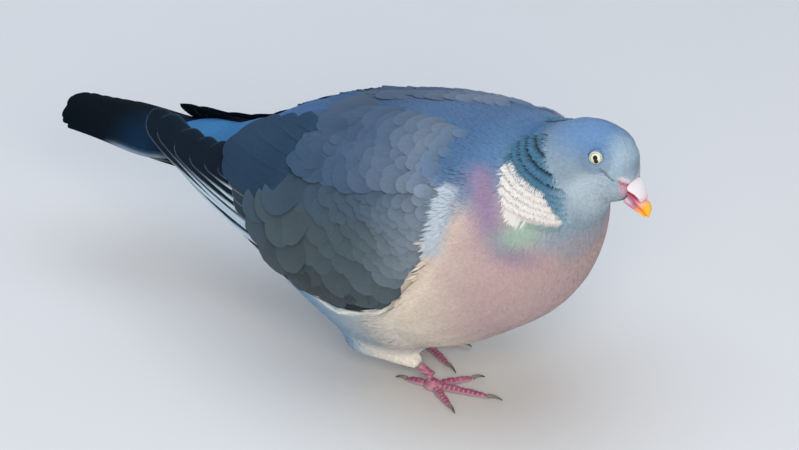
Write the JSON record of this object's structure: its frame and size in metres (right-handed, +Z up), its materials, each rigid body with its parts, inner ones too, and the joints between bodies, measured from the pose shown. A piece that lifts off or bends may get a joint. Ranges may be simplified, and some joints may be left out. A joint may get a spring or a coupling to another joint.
{
  "type": "common wood pigeon",
  "caption": "Life-size still model of a standing common wood pigeon with its head lowered, resting on its toes.",
  "frame": {"origin": "on the floor under the middle of the bird's length and width", "axes": "+X forward, towards the bill; +Y towards the bird's left wing; +Z up"},
  "size_m": [0.368, 0.1462, 0.1821],
  "materials": {
    "head_feathers": "matt blue-grey feathers",
    "neck_feathers": "glossy furrowed feathers, white at the sides",
    "body_feathers": "soft matt feathers, pink-grey to cream",
    "wing_feathers": "matt slate-grey feathers with a white edge",
    "flight_feathers": "smooth blackish feathers",
    "leg_feathers": "soft whitish feathers",
    "foot_skin": "scaly skin, satin",
    "claw": "horn, satin",
    "bill": "horn, satin",
    "bill_skin": "smooth skin over horn",
    "cere": "powdery white skin",
    "eye": "wet and clear"
  },
  "bodies": {
    "root": {"head": "head_feathers", "neck": "neck_feathers", "trunk": "body_feathers", "tail": "flight_feathers", "wing_left": "wing_feathers", "flight_feathers_left": "flight_feathers", "thigh_left": "leg_feathers", "tarsus_left": "foot_skin", "foot_left_pad": "foot_skin", "toe_left_middle": "foot_skin", "claw_left_middle": "claw", "toe_left_inner": "foot_skin", "claw_left_inner": "claw", "toe_left_outer": "foot_skin", "claw_left_outer": "claw", "toe_left_hind": "foot_skin", "claw_left_hind": "claw", "eye_left": "eye", "wing_right": "wing_feathers", "flight_feathers_right": "flight_feathers", "thigh_right": "leg_feathers", "tarsus_right": "foot_skin", "foot_right_pad": "foot_skin", "toe_right_middle": "foot_skin", "claw_right_middle": "claw", "toe_right_inner": "foot_skin", "claw_right_inner": "claw", "toe_right_outer": "foot_skin", "claw_right_outer": "claw", "toe_right_hind": "foot_skin", "claw_right_hind": "claw", "eye_right": "eye", "bill_upper": "bill", "bill_lower": "bill_skin", "cere": "cere"}
  },
  "joints": []
}
